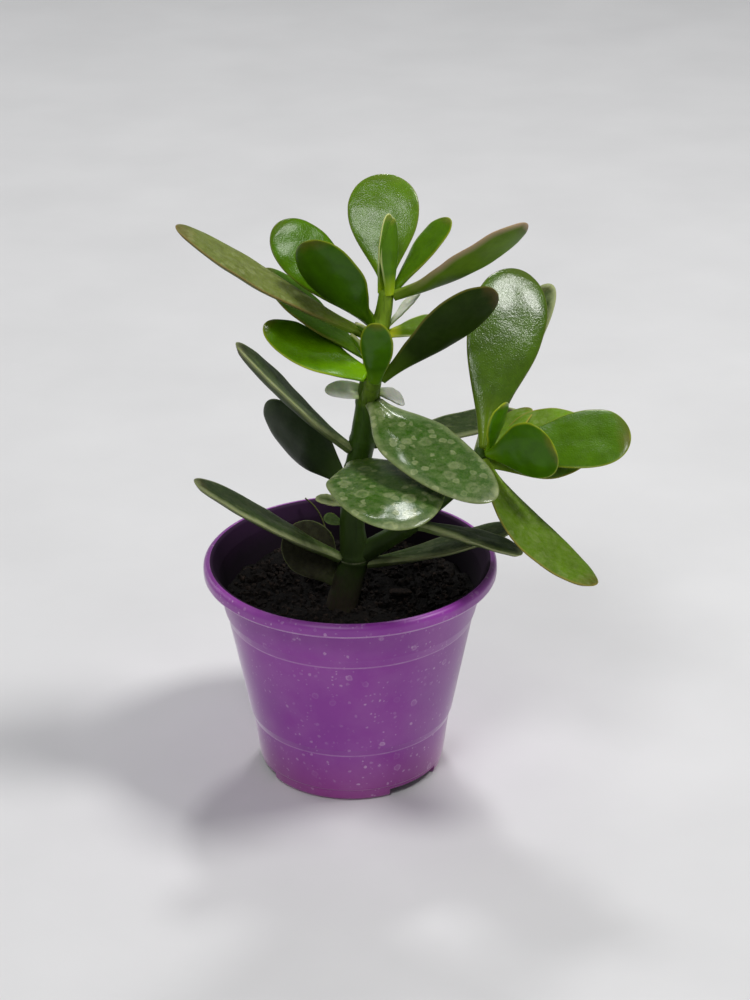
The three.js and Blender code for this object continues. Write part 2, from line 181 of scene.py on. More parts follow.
def rounded(outline):
    """Replaces each corner between the ends of an outline by an arc of its own radius."""
    corners = [Vector(corner[:2]) for corner in outline]
    smooth = [corners[0]]
    for before, corner, after, (_, _, radius) in zip(corners, corners[1:], corners[2:], outline[1:]):
        before = (before - corner).normalized()
        after = (after - corner).normalized()
        half = before.angle(after) / 2
        reach = radius / math.tan(half)
        centre = corner + (before + after).normalized() * radius / math.sin(half)
        first = corner + before * reach - centre
        last = corner + after * reach - centre
        for step in range(ROUNDING_STEPS + 1):
            share = step / ROUNDING_STEPS
            smooth.append(centre + (first * (1 - share) + last * share).normalized() * radius)
    return smooth + [corners[-1]]


def turned(name, outline, sides):
    """Turns an outline of radius and height round the pot's axis."""
    angles = np.linspace(0, 2 * math.pi, sides, endpoint=False)
    rings = [[(r * math.cos(a), r * math.sin(a), z) for a in angles] for r, z in outline[1:-1]]
    return skin(name, np.array(rings), (0, 0, outline[0][1]), (0, 0, outline[-1][1]))


def slot_cutter(azimuth):
    """A block in the shape of one drain slot."""
    angles = np.radians(np.linspace(azimuth - SLOT_ARC / 2, azimuth + SLOT_ARC / 2, SLOT_CUTS))
    inner, outer = SLOT_RADII
    low, high = SLOT_HEIGHTS
    shell = bmesh.new()
    walls = []
    for angle in angles:
        walls.append([shell.verts.new((r * math.cos(angle) * MM, r * math.sin(angle) * MM, z * MM))
                      for r, z in ((inner, low), (outer, low), (outer, high), (inner, high))])
    for here, there in zip(walls, walls[1:]):
        for k in range(4):
            shell.faces.new((here[k], here[(k + 1) % 4], there[(k + 1) % 4], there[k]))
    shell.faces.new(walls[0])
    shell.faces.new(walls[-1])
    bmesh.ops.recalc_face_normals(shell, faces=shell.faces)
    return finished_mesh("slot_cutter", shell)


def dried_drops(tree, place, bend, detail, stray, layers, randomness=1.0):
    """Marks of dried water. Their outlines wander by up to stray, in bends of a size of bend. Each layer
    has the size of its cells, with one drop in each, the settings that pick the drops by chance, and
    how strong a drop is from its middle outwards, in shares of a cell. All sizes are in mm."""
    wander = add_node(tree, "ShaderNodeTexNoise", {"Vector": place, "Scale": 1 / bend,
                                                   "Detail": detail}, out="Color")
    wander = add_node(tree, "ShaderNodeVectorMath", {0: wander, "Scale": stray}, operation="SCALE")
    strayed = add_node(tree, "ShaderNodeVectorMath", {0: place, 1: wander}, operation="ADD")
    drops = None
    for cell, pick, levels in layers:
        web = {"Vector": strayed, "Scale": 1 / cell, "Randomness": randomness}
        reach = add_node(tree, "ShaderNodeTexVoronoi", web, out="Distance")
        chance = add_node(tree, "ShaderNodeTexVoronoi", web, out="Color")
        chance = add_node(tree, "ShaderNodeSeparateColor", {0: chance})
        chosen = add_node(tree, "ShaderNodeMapRange", {"Value": chance, **pick})
        shape = add_node(tree, "ShaderNodeValToRGB", {0: reach}, stops=[
            (far, (level, level, level, 1)) for far, level in levels])
        marks = add_node(tree, "ShaderNodeMath", {0: shape, 1: chosen}, operation="MULTIPLY")
        if drops:
            marks = add_node(tree, "ShaderNodeMath", {0: marks, 1: drops}, operation="MAXIMUM")
        drops = marks
    return drops


def moulded_polypropylene():
    """Purple polypropylene: satin, pinker at the foot, with dried water marks, scuffs and painted
    highlights.
    """
    material, tree, place = new_material("moulded_polypropylene")
    height = add_node(tree, "ShaderNodeSeparateXYZ", {0: place}, out="Z")
    flat = add_node(tree, "ShaderNodeVectorMath", {0: place, 1: (1, 1, 0)}, operation="MULTIPLY")
    radius = add_node(tree, "ShaderNodeVectorMath", {0: flat}, out="Value", operation="LENGTH")
    cloud = add_node(tree, "ShaderNodeTexNoise", {"Vector": place, "Scale": 1 / 35, "Detail": 3})
    body = add_node(tree, "ShaderNodeMix", {0: cloud, 6: linear(POT_SHADE), 7: linear(POT_PURPLE)},
                    **COLOUR_MIX)
    low = add_node(tree, "ShaderNodeMapRange", {
        "Value": height, "From Min": PINK_HEIGHTS[0], "From Max": PINK_HEIGHTS[1], "To Max": 0.8})
    body = add_node(tree, "ShaderNodeMix", {0: low, 6: body, 7: linear(POT_PINK)}, **COLOUR_MIX)
    # Dried water: specks, dots and a few rings, of 1 to 3.5 mm across.
    drops = dried_drops(tree, place, 1.6, 2, 1.3, (
        (1.7, {"From Min": 0.62}, ((0.0, 0.8), (0.15, 0.7), (0.3, 0.0))),
        (3.1, {"From Min": 0.6}, ((0.0, 0.7), (0.16, 0.8), (0.26, 0.0))),
        (6.5, {"From Min": 0.7}, ((0.0, 0.25), (0.14, 0.3), (0.2, 0.8), (0.27, 0.0)))))
    patchy = add_node(tree, "ShaderNodeTexNoise", {"Vector": place, "Scale": 1 / 16, "Detail": 4})
    patchy = add_node(tree, "ShaderNodeMapRange", {"Value": patchy, "From Min": 0.38, "From Max": 0.64,
                                                   "To Min": 0.15})
    drops = add_node(tree, "ShaderNodeMath", {0: drops, 1: patchy}, operation="MULTIPLY")
    film = add_node(tree, "ShaderNodeMath", {0: patchy, 1: 0.1, 2: drops}, operation="MULTIPLY_ADD")
    # Scuffs along the rim's lower edge, worn streaks on the rim's top that are partly a painted
    # highlight, and a painted highlight as a pale line along each step.
    streak = add_node(tree, "ShaderNodeTexNoise", {"Vector": place, "Scale": 1 / 5, "Detail": 6,
                                                   "Roughness": 0.7})
    edge = add_node(tree, "ShaderNodeMath", {0: height, 1: RIM_EDGE[1], 2: 0.5}, operation="COMPARE")
    outer = add_node(tree, "ShaderNodeMath", {0: radius, 1: RIM_EDGE[0]}, operation="GREATER_THAN")
    edge = add_node(tree, "ShaderNodeMath", {0: edge, 1: outer}, operation="MULTIPLY")
    edge = add_node(tree, "ShaderNodeMath", {0: edge, 1: streak}, operation="MULTIPLY")
    # partly a painted highlight: pale worn streaks on the rim's rounded top
    top = add_node(tree, "ShaderNodeMapRange", {"Value": height, "From Min": RIM_TOP[0],
                                                "From Max": RIM_TOP[1]})
    wear_and_highlight = add_node(tree, "ShaderNodeMapRange", {"Value": streak, "From Min": 0.58, "From Max": 0.72,
                                                 "To Max": 0.45})
    top = add_node(tree, "ShaderNodeMath", {0: top, 1: wear_and_highlight}, operation="MULTIPLY")
    scuffs_and_highlights = add_node(tree, "ShaderNodeMath", {0: edge, 1: top}, operation="MAXIMUM")
    # painted highlight: a pale line along each step, where its ledge would catch the light
    for step in STEP_HEIGHTS:
        line = add_node(tree, "ShaderNodeMath", {0: height, 1: step, 2: 0.35}, operation="COMPARE")
        line = add_node(tree, "ShaderNodeMath", {0: line, 1: streak}, operation="MULTIPLY")
        line = add_node(tree, "ShaderNodeMath", {0: line, 1: 0.75}, operation="MULTIPLY")
        scuffs_and_highlights = add_node(tree, "ShaderNodeMath", {0: scuffs_and_highlights, 1: line}, operation="MAXIMUM")
    film = add_node(tree, "ShaderNodeMath", {0: film, 1: scuffs_and_highlights}, operation="MAXIMUM")
    # water marks, scuffs and painted highlights all take the one pale colour
    colour = add_node(tree, "ShaderNodeMix", {0: film, 6: body, 7: linear(WATER_MARK_AND_HIGHLIGHT)}, **COLOUR_MIX)
    rough = add_node(tree, "ShaderNodeMapRange", {"Value": patchy, "To Min": 0.32, "To Max": 0.42})
    fine = add_node(tree, "ShaderNodeTexNoise", {"Vector": place, "Scale": 1 / 0.9, "Detail": 2})
    relief = add_node(tree, "ShaderNodeMath", {0: drops, 1: 0.6, 2: fine}, operation="MULTIPLY_ADD")
    bump = add_node(tree, "ShaderNodeBump", {"Height": relief, "Strength": 0.25, "Distance": 0.00006})
    plastic = add_node(tree, "ShaderNodeBsdfPrincipled", {
        "Base Color": colour, "Roughness": rough, "IOR": 1.49, "Normal": bump,
        "Sheen Weight": 0.9, "Sheen Roughness": 0.3, "Subsurface Weight": 0.08,
        "Subsurface Radius": (0.9, 0.5, 1.0), "Subsurface Scale": 0.002})
    add_node(tree, "ShaderNodeOutputMaterial", {"Surface": plastic})
    return material


def shaded_soil_stained_polypropylene():
    """The same plastic on the inner wall: matt, darkened as painted shade, with a stain of wet soil,
    darkest low down.
    """
    material, tree, place = new_material("shaded_soil_stained_polypropylene")
    height = add_node(tree, "ShaderNodeSeparateXYZ", {0: place}, out="Z")
    splash = add_node(tree, "ShaderNodeTexNoise", {"Vector": place, "Scale": 1 / 5, "Detail": 6,
                                                   "Roughness": 0.7})
    deep = add_node(tree, "ShaderNodeMath", {0: splash, 1: -8, 2: height}, operation="MULTIPLY_ADD")
    deep = add_node(tree, "ShaderNodeMapRange", {
        "Value": deep, "From Min": STAIN_AND_SHADE_HEIGHTS[0], "From Max": STAIN_AND_SHADE_HEIGHTS[1], "To Min": 0.35})
    # painted shade: the inner wall is darker than the outside, and darker still lower down with the
    # stain
    colour = add_node(tree, "ShaderNodeMix", {0: deep, 6: linear(WALL_PAINTED_SHADE), 7: linear(WALL_STAIN_AND_SHADE)},
                      **COLOUR_MIX)
    bump = add_node(tree, "ShaderNodeBump", {"Height": splash, "Strength": 0.3, "Distance": 0.0002})
    plastic = add_node(tree, "ShaderNodeBsdfPrincipled", {
        "Base Color": colour, "Roughness": 0.75, "IOR": 1.49, "Specular IOR Level": 0.25,
        "Normal": bump})
    add_node(tree, "ShaderNodeOutputMaterial", {"Surface": plastic})
    return material


pot_mesh = turned("moulded_pot", rounded(POT_OUTLINE), POT_SIDES)
pot = new_object("moulded_pot", pot_mesh, moulded_polypropylene())
for k in range(SLOT_COUNT):
    slot = slot_cutter(SLOT_AZIMUTH + k * 360 / SLOT_COUNT)
    cutter = new_object(f"slot_{k}", slot, pot_mesh.materials[0])
    cut = pot.modifiers.new("slot", "BOOLEAN")
    cut.operation = "DIFFERENCE"
    cut.object = cutter
    cut_mesh = evaluated_mesh(pot)
    pot.modifiers.clear()
    pot.data = cut_mesh
    bpy.data.objects.remove(cutter)
pot.data.shade_smooth()
pot.data.set_sharp_from_angle(angle=math.radians(SHARP_ANGLE))
pot.data.materials.append(shaded_soil_stained_polypropylene())
# the inner wall above the foot gets the darker material, stained and in painted shade
for face in pot.data.polygons:
    inward = face.normal.xy.dot(face.center.xy) < 0
    face.material_index = int(inward and face.center.z > INNER_WALL_FOOT * MM)
hand_over(pot, "pot")

# ---------------------------------------------------------------------------------------------
# Soil: a dark peat and bark mix that fills the pot to 17 mm below the rim. It is loose on top, with
# crumbs and short brown root fibres. A bark chip lies to the right of the trunk, and the dry stalk of
# a seedling leans towards the wall behind it.
SOIL_LEVEL = 76
SOIL_RADIUS = 51.0
SOIL_RINGS = 80
SOIL_SIDES = 200
SOIL_FLOOR = 2.1
SOIL_WALL = ((34.5, SOIL_FLOOR), (36.2, 4.6), (40.2, 23.5), (49.5, 69.5), (50.4, 73.5))
SOIL_LUMPS = 1.3
SOIL_DARK = "#0a0909"
SOIL_BROWN = "#1e1916"
SURFACE_STEPS = 60
SURFACE_LIFT = 0.2
SURFACE_EDGE = 1.5  # left free of crumbs along the wall
CHIP_PLACE = (20.5, -1.5)
CHIP_SIZE = (9.5, 4.6, 1.6)
CHIP_TURN = 14
CHIP_LEAN = 7
CHIP_LIFT = 1.6
CHIP_SEED = 4
CHIP_TONE = 0.5
FIBRE_BROWN = "#40322a"
STALK = [(-8.5, 41, 75), (-11.8, 45.5, 88), (-15.2, 48, 93.2), (-19, 50, 96)]
STALK_RADIUS = 0.35
STALK_TONE = 2.0
STALK_OLIVE = "#5d6136"


def soil_height(x, y):
    """The height of the soil's top, which rises and falls in three waves."""
    swell = 1.3 * math.sin(0.11 * x + 1.3) * math.cos(0.09 * y)
    ripple = 0.8 * math.sin(0.23 * x + 0.17 * y + 2)
    return SOIL_LEVEL + swell + ripple + 0.5 * math.sin(0.41 * x - 0.37 * y)


def soil_mesh():
    """The plug of soil, lumpy on top."""
    angles = np.linspace(0, 2 * math.pi, SOIL_SIDES, endpoint=False)
    rings = [[(r * math.cos(a), r * math.sin(a), z) for a in angles] for r, z in SOIL_WALL]
    for k in range(SOIL_RINGS, 0, -1):
        radius = SOIL_RADIUS * k / SOIL_RINGS
        ring = []
        for a in angles:
            x = radius * math.cos(a)
            y = radius * math.sin(a)
            lumps = noise.fractal(Vector((x, y, 3)) / 7, 0.9, 2.1, 5)
            ring.append((x, y, soil_height(x, y) + SOIL_LUMPS * lumps))
        rings.append(ring)
    return skin("potting_soil", np.array(rings), (0, 0, SOIL_FLOOR), (0, 0, soil_height(0, 0)))


def peat_and_bark():
    """Potting soil: nearly black peat with brown grit. Each crumb has a tone of its own, and the dry
    stalk has one that no crumb reaches."""
    material, tree, place = new_material("peat_and_bark")
    tone = add_node(tree, "ShaderNodeAttribute", attribute_name="tone", out="Fac")
    grit = add_node(tree, "ShaderNodeTexNoise", {"Vector": place, "Scale": 1 / 1.6, "Detail": 6,
                                                 "Roughness": 0.7})
    grit = add_node(tree, "ShaderNodeMapRange", {"Value": grit, "From Min": 0.4, "From Max": 0.72})
    share = add_node(tree, "ShaderNodeMath", {0: grit, 1: 0.6, 2: tone}, operation="MULTIPLY_ADD")
    colour = add_node(tree, "ShaderNodeValToRGB", {0: share}, stops=[
        (0.0, linear(SOIL_DARK)), (0.6, linear(SOIL_BROWN)), (1.0, linear(FIBRE_BROWN))])
    stalk = add_node(tree, "ShaderNodeMath", {0: tone, 1: STALK_TONE - 0.5}, operation="GREATER_THAN")
    colour = add_node(tree, "ShaderNodeMix", {0: stalk, 6: colour, 7: linear(STALK_OLIVE)},
                      **COLOUR_MIX)
    bump = add_node(tree, "ShaderNodeBump", {"Height": grit, "Strength": 0.9, "Distance": 0.0006})
    soil = add_node(tree, "ShaderNodeBsdfPrincipled", {
        "Base Color": colour, "Roughness": 0.95, "Specular IOR Level": 0.2, "Normal": bump})
    add_node(tree, "ShaderNodeOutputMaterial", {"Surface": soil})
    return material


def scatter_tree(name, shape):
    """Scatters copies of a shape over the soil, each turned, sized and toned at random."""
    tree = bpy.data.node_groups.new(name, "GeometryNodeTree")
    sockets = tree.interface
    for label, kind in (("Geometry", "Geometry"), ("Spacing", "Float"), ("Per Square Metre", "Float"),
                        ("Smallest", "Float"), ("Largest", "Float"), ("Tone", "Float"),
                        ("Seed", "Int"), ("Finish", "Material")):
        sockets.new_socket(label, in_out="INPUT", socket_type="NodeSocket" + kind)
    sockets.new_socket("Geometry", in_out="OUTPUT", socket_type="NodeSocketGeometry")
    given = tree.nodes.new("NodeGroupInput").outputs
    spots = add_node(tree, "GeometryNodeDistributePointsOnFaces", {
        "Mesh": given["Geometry"], "Distance Min": given["Spacing"],
        "Density Max": given["Per Square Metre"], "Seed": given["Seed"]},
        distribute_method="POISSON")
    size = add_node(tree, "FunctionNodeRandomValue", {2: given["Smallest"], 3: given["Largest"],
                                                      "Seed": given["Seed"]}, out=1)
    spin = add_node(tree, "FunctionNodeRandomValue", {0: (-0.5, -0.5, 0), 1: (0.5, 0.5, 6.28),
                                                      "Seed": given["Seed"]},
                    data_type="FLOAT_VECTOR")
    tone = add_node(tree, "FunctionNodeRandomValue", {3: given["Tone"], "Seed": given["Seed"]}, out=1)
    copies = add_node(tree, "GeometryNodeInstanceOnPoints", {
        "Points": spots, "Instance": shape(tree), "Rotation": spin, "Scale": size})
    toned = add_node(tree, "GeometryNodeStoreNamedAttribute", {
        "Geometry": copies, "Name": "tone", "Value": tone}, domain="INSTANCE")
    plain = add_node(tree, "GeometryNodeRealizeInstances", {"Geometry": toned})
    done = add_node(tree, "GeometryNodeSetMaterial", {"Geometry": plain, "Material": given["Finish"]})
    add_node(tree, "NodeGroupOutput", {"Geometry": done})
    return tree


def crumb(tree):
    """A lump of unit size with a rough skin."""
    ball = add_node(tree, "GeometryNodeMeshIcoSphere", {"Radius": 0.5, "Subdivisions": 2})
    rough = add_node(tree, "ShaderNodeTexNoise", {"Scale": 2.3, "Detail": 2}, out="Color")
    rough = add_node(tree, "ShaderNodeVectorMath", {0: rough, 1: (0.5, 0.5, 0.55)}, operation="SUBTRACT")
    return add_node(tree, "GeometryNodeSetPosition", {"Geometry": ball, "Offset": rough})


def fibre(tree):
    """A thin bent root hair of unit length."""
    line = add_node(tree, "GeometryNodeCurvePrimitiveLine", {"Start": (-0.5, 0, 0.06),
                                                             "End": (0.5, 0, 0.1)})
    line = add_node(tree, "GeometryNodeResampleCurve", {"Curve": line, "Count": 9})
    bend = add_node(tree, "ShaderNodeTexNoise", {"Scale": 1.7, "Detail": 1}, out="Color")
    bend = add_node(tree, "ShaderNodeVectorMath", {0: bend, 1: (0.5, 0.5, 0.45)}, operation="SUBTRACT")
    line = add_node(tree, "GeometryNodeSetPosition", {"Geometry": line, "Offset": bend})
    ring = add_node(tree, "GeometryNodeCurvePrimitiveCircle", {"Resolution": 4, "Radius": 0.02})
    return add_node(tree, "GeometryNodeCurveToMesh", {"Curve": line, "Profile Curve": ring,
                                                      "Fill Caps": True})


def scattered(name, shape, surface, finish, values):
    """The plain mesh that a scatter tree makes over a surface. Sizes are in metres here."""
    holder = bpy.data.objects.new(name, surface)
    bpy.context.collection.objects.link(holder)
    spread = holder.modifiers.new(name, "NODES")
    spread.node_group = scatter_tree(name, shape)
    given = {**values, "Finish": finish}
    for socket in spread.node_group.interface.items_tree:
        if socket.in_out == "INPUT" and socket.name in given:
            spread[socket.identifier] = given[socket.name]
    mesh = evaluated_mesh(holder)
    bpy.data.objects.remove(holder)
    return mesh


def in_one_tone(mesh, tone):
    """Gives a mesh the same tone all over."""
    points = mesh.attributes.new("tone", "FLOAT", "POINT").data
    points.foreach_set("value", [tone] * len(points))
    return mesh


def bark_chip():
    """The flat chip of bark: a bevelled sliver, frayed at its edge."""
    chip = bmesh.new()
    bmesh.ops.create_icosphere(chip, subdivisions=4, radius=0.5)
    turn = Matrix.Rotation(math.radians(CHIP_TURN), 3, "Z")
    lean = turn @ Matrix.Rotation(math.radians(CHIP_LEAN), 3, "Y")
    x, y = CHIP_PLACE
    noise.seed_set(CHIP_SEED)  # without it, noise_vector differs from run to run
    for vert in chip.verts:
        shape = Vector([math.copysign(abs(2 * c) ** 0.6, c) / 2 for c in vert.co])
        shape += 0.06 * noise.noise_vector(vert.co * 5)
        size = Vector([a * b for a, b in zip(shape, CHIP_SIZE)])
        vert.co = (lean @ size + Vector((x, y, soil_height(x, y) + CHIP_LIFT))) * MM
    mesh = finished_mesh("bark_chip", chip)
    mesh.shade_smooth()
    return in_one_tone(mesh, CHIP_TONE)


def dry_stalk():
    """The dry stalk of a seedling, thin as a thread, that leans towards the wall at the back."""
    line = bpy.data.curves.new("dry_stalk", "CURVE")
    line.dimensions = "3D"
    line.bevel_depth = STALK_RADIUS * MM
    line.bevel_resolution = 2
    line.use_fill_caps = True
    run = line.splines.new("BEZIER")
    run.bezier_points.add(len(STALK) - 1)
    for point, spot in zip(run.bezier_points, STALK):
        point.co = Vector(spot) * MM
        point.handle_left_type = point.handle_right_type = "AUTO"
    holder = bpy.data.objects.new("dry_stalk", line)
    mesh = bpy.data.meshes.new_from_object(holder)
    bpy.data.objects.remove(holder)
    return in_one_tone(mesh, STALK_TONE)


def joined(name, meshes):
    """Several meshes as one, with their attributes kept."""
    parts = [bpy.data.objects.new(name, mesh) for mesh in meshes]
    for part in parts:
        bpy.context.collection.objects.link(part)
    with bpy.context.temp_override(active_object=parts[0], selected_editable_objects=parts):
        bpy.ops.object.join()
    return parts[0]


def soil_surface():
    """The open top of the soil, inside the wall, for things to lie on."""
    surface = bmesh.new()
    bmesh.ops.create_grid(surface, x_segments=SURFACE_STEPS, y_segments=SURFACE_STEPS,
                          size=SOIL_RADIUS * MM)
    for vert in surface.verts:
        vert.co.z = (soil_height(vert.co.x / MM, vert.co.y / MM) + SURFACE_LIFT) * MM
    outside = [v for v in surface.verts if v.co.xy.length > (SOIL_RADIUS - SURFACE_EDGE) * MM]
    bmesh.ops.delete(surface, geom=outside, context="VERTS")
    return finished_mesh("soil_surface", surface)


soil_finish = peat_and_bark()
lying_on = soil_surface()
soil_parts = [soil_mesh()]
for name, shape, values in (
        ("crumbs", crumb, {"Spacing": 0.0011, "Per Square Metre": 240000.0, "Smallest": 0.0006,
                           "Largest": 0.0026, "Tone": 0.5, "Seed": 3}),
        ("lumps", crumb, {"Spacing": 0.005, "Per Square Metre": 12000.0, "Smallest": 0.0028,
                          "Largest": 0.0055, "Tone": 0.35, "Seed": 8}),
        ("fibres", fibre, {"Spacing": 0.003, "Per Square Metre": 8000.0, "Smallest": 0.003,
                           "Largest": 0.009, "Tone": 0.9, "Seed": 5})):
    soil_parts.append(scattered(name, shape, lying_on, soil_finish, values))
soil_parts += [bark_chip(), dry_stalk()]
for part_mesh in soil_parts:
    part_mesh.materials.clear()
    part_mesh.materials.append(soil_finish)
hand_over(joined("potting_soil", soil_parts), "soil")

# ---------------------------------------------------------------------------------------------
# Stems: the trunk, the branch to its right and the short shoot in front. They are green and fleshy,
# brown and corky at the foot, with a swollen ring and a fine groove where each leaf pair sits.
STEM_SIDES = 40
STEM_STEP = 0.7
RING_OUT = 0.6  # how far the ring at a leaf pair swells
RING_SPREAD = 1.8
GROOVE_DEPTH = 0.35
GROOVE_SPREAD = 0.4
WRINKLE_DEPTH = 0.22
FLAKE_DEPTH = 0.35
CORK_HEIGHTS = (70, 100)  # the bark is flaky up to the first and smooth from the second
PATH_STEPS = 14
STEM_FOOT = 0.4  # steps by which the middle of each blunt end stands out
STEM_TIP = 2.0
STEM_POINTS = {  # x, y, height and radius along each stem
    "main": [(-5, -10, 56, 5.6), (-3.5, -9.8, 76, 6.3), (-0.6, -9.4, 88, 6.0), (1.6, -9, 97.5, 5.9),
             (0.9, -8.6, 112, 5.0), (2.8, -8, 134, 5.0), (5.2, -7, 148, 5.0), (7.5, -6, 165, 4.6),
             (9.5, -4.5, 180, 3.8), (11.7, -3.5, 193, 3.6), (13.6, -3, 200, 3.4), (15, -3, 209.5, 2.9)],
    "side": [(3, -9, 98, 4.4), (11, -10, 103.5, 4.0), (21.5, -12, 111.5, 3.7), (33, -14.5, 123, 3.5),
             (43, -16.5, 134, 3.3), (52, -18.2, 148, 2.7)],
    "front": [(7, -6, 164, 3.4), (8.6, -11, 171, 3.2), (10, -15, 180, 2.8)],
}
STEM_NODES = {"main": [97.5, 136, 148, 165, 185, 196], "side": [113, 141], "front": [176]}
STEM_GREEN = "#36530f"
STEM_YOUNG = "#88a82c"
STEM_OLD = "#2a3a14"
STEM_CORK = "#332c22"
STEM_LINE = "#22340f"
STEM_SCAR = "#a8a88a"


def smooth_path(points):
    """A centripetal curve through points."""
    ends = np.array([2 * points[0] - points[1], *points, 2 * points[-1] - points[-2]])
    path = []
    for k in range(1, len(ends) - 2):
        gap = [np.linalg.norm(ends[k + j] - ends[k + j - 1]) ** 0.5 for j in range(3)]
        chord = ends[k + 1] - ends[k]
        back = (ends[k] - ends[k - 1]) / gap[0] - (ends[k + 1] - ends[k - 1]) / (gap[0] + gap[1])
        fore = (ends[k + 2] - ends[k + 1]) / gap[2] - (ends[k + 2] - ends[k]) / (gap[1] + gap[2])
        leave = chord + gap[1] * back
        arrive = chord + gap[1] * fore
        for t in np.linspace(0, 1, PATH_STEPS, endpoint=False):
            path.append(ends[k] + t * leave + t * t * (3 * chord - 2 * leave - arrive)
                        + t ** 3 * (leave + arrive - 2 * chord))
    return np.array(path + [ends[-2]])


def near_nodes(key, height, spread):
    """How near a height is to a leaf node of the stem: 1 at the node, and 0 far from any."""
    return sum(math.exp(-((height - node) / spread) ** 2) for node in STEM_NODES[key])


def stem_radius(key, height):
    """A stem's radius with its swollen rings."""
    heights = [p[2] for p in STEM_POINTS[key]]
    radius = np.interp(height, heights, [p[3] for p in STEM_POINTS[key]])
    return radius + RING_OUT * near_nodes(key, height, RING_SPREAD)


def stem_mesh(key):
    """A round stem with a groove at each node and faint wrinkles along it."""
    path = stem_paths[key]
    length = np.insert(np.cumsum(np.linalg.norm(np.diff(path, axis=0), axis=1)), 0, 0)
    marks = np.linspace(0, length[-1], int(length[-1] / STEM_STEP))
    centres = np.stack([np.interp(marks, length, path[:, axis]) for axis in range(3)], axis=1)
    rings = []
    for centre, along in zip(centres, np.gradient(centres, axis=0)):
        along = along / np.linalg.norm(along)
        across = np.cross((0, -1, 0), along)
        across = across / np.linalg.norm(across)
        up = np.cross(along, across)
        height = centre[2]
        groove = GROOVE_DEPTH * near_nodes(key, height, GROOVE_SPREAD)
        flaky, smooth = CORK_HEIGHTS
        age = max(0.0, 1 - (height - flaky) / (smooth - flaky))
        ring = []
        for angle in np.linspace(0, 2 * math.pi, STEM_SIDES, endpoint=False):
            side = math.cos(angle) * across + math.sin(angle) * up
            wrinkle = WRINKLE_DEPTH * noise.noise(Vector((3 * side[0], 3 * side[1], height / 14)))
            flake = FLAKE_DEPTH * age * noise.noise(Vector((4 * side[0], 4 * side[1], height / 2.5)))
            ring.append(centre + (stem_radius(key, height) - groove + wrinkle + flake) * side)
        rings.append(ring)
    foot = centres[0] - STEM_FOOT * (centres[1] - centres[0])
    tip = centres[-1] + STEM_TIP * (centres[-1] - centres[-2])
    return skin("stem_" + key, np.array(rings), foot, tip)


def green_stem():
    """A succulent's stem: a smooth green skin that turns pale at the tip and corky brown at the foot."""
    material, tree, place = new_material("green_stem")
    height = add_node(tree, "ShaderNodeSeparateXYZ", {0: place}, out="Z")
    blotch = add_node(tree, "ShaderNodeTexNoise", {"Vector": place, "Scale": 1 / 7, "Detail": 5})
    uneven = add_node(tree, "ShaderNodeMath", {0: blotch, 1: 26, 2: height}, operation="MULTIPLY_ADD")
    age = add_node(tree, "ShaderNodeMapRange", {"Value": uneven, "From Min": 80, "From Max": 225})
    colour = add_node(tree, "ShaderNodeValToRGB", {0: age}, stops=[
        (0.0, linear(STEM_CORK)), (0.1, linear(STEM_CORK)), (0.2, linear(STEM_OLD)),
        (0.62, linear(STEM_GREEN)), (0.88, linear(STEM_YOUNG))])
    stretched = add_node(tree, "ShaderNodeMapping", {"Vector": place, "Scale": (1, 1, 0.18)})
    line = add_node(tree, "ShaderNodeTexNoise", {"Vector": stretched, "Scale": 1 / 1.1, "Detail": 4})
    line = add_node(tree, "ShaderNodeMapRange", {"Value": line, "From Min": 0.5, "From Max": 0.72,
                                                 "To Max": 0.45})
    colour = add_node(tree, "ShaderNodeMix", {0: line, 6: colour, 7: linear(STEM_LINE)}, **COLOUR_MIX)
    # The dry scar line of the lowest pair.
    scar = add_node(tree, "ShaderNodeMath", {0: height, 1: STEM_NODES["main"][0], 2: 0.3},
                    operation="COMPARE")
    broken = add_node(tree, "ShaderNodeMapRange", {"Value": blotch, "From Min": 0.4, "From Max": 0.7,
                                                   "To Max": 0.6})
    scar = add_node(tree, "ShaderNodeMath", {0: scar, 1: broken}, operation="MULTIPLY")
    colour = add_node(tree, "ShaderNodeMix", {0: scar, 6: colour, 7: linear(STEM_SCAR)}, **COLOUR_MIX)
    rough = add_node(tree, "ShaderNodeMapRange", {"Value": age, "From Min": 0.08, "From Max": 0.3,
                                                  "To Min": 0.85, "To Max": 0.45})
    bump = add_node(tree, "ShaderNodeBump", {"Height": line, "Strength": 0.5, "Distance": 0.0003})
    stem = add_node(tree, "ShaderNodeBsdfPrincipled", {
        "Base Color": colour, "Roughness": rough, "IOR": 1.42, "Specular IOR Level": 0.25,
        "Normal": bump, "Subsurface Weight": 0.15, "Subsurface Radius": (0.6, 1.0, 0.15),
        "Subsurface Scale": 0.002})
    add_node(tree, "ShaderNodeOutputMaterial", {"Surface": stem})
    return material


stem_paths = {key: smooth_path(np.array([p[:3] for p in points], float))
              for key, points in STEM_POINTS.items()}
stem_finish = green_stem()
for key in STEM_POINTS:
    hand_over(new_object("grown_stem_" + key, stem_mesh(key), stem_finish), "stem_" + key)

# ---------------------------------------------------------------------------------------------
# Leaves: fleshy spoons in pairs, each thick in the middle with a thin margin that lets light through.
# The upper face is a little hollow and pitted, the under face round and smooth, and the foot narrows
# to a short pale stalk. Old leaves carry dried water and dust, young ones are bright and glossy.
DRIED_WATER = "#a8b080"
LEAF_SIDES = 48
LEAF_STATIONS = 60
ROOT_DEPTH = 0.8  # share of the stem's radius at which a leaf's own axis starts
TIP_SHARE = 0.05  # share of a leaf's length over which its thickness runs out to the tip
UPPER_SWELL = 0.85  # how thick each face is beside the leaf's half thickness
UNDER_SWELL = 1.05
MIDRIB_DEPTH = 0.3
MIDRIB_WIDTH = 0.1  # share of the leaf's half width
WAVE_HEIGHT = 0.4
MARGIN_WAVE = 0.015  # share of the leaf's half width


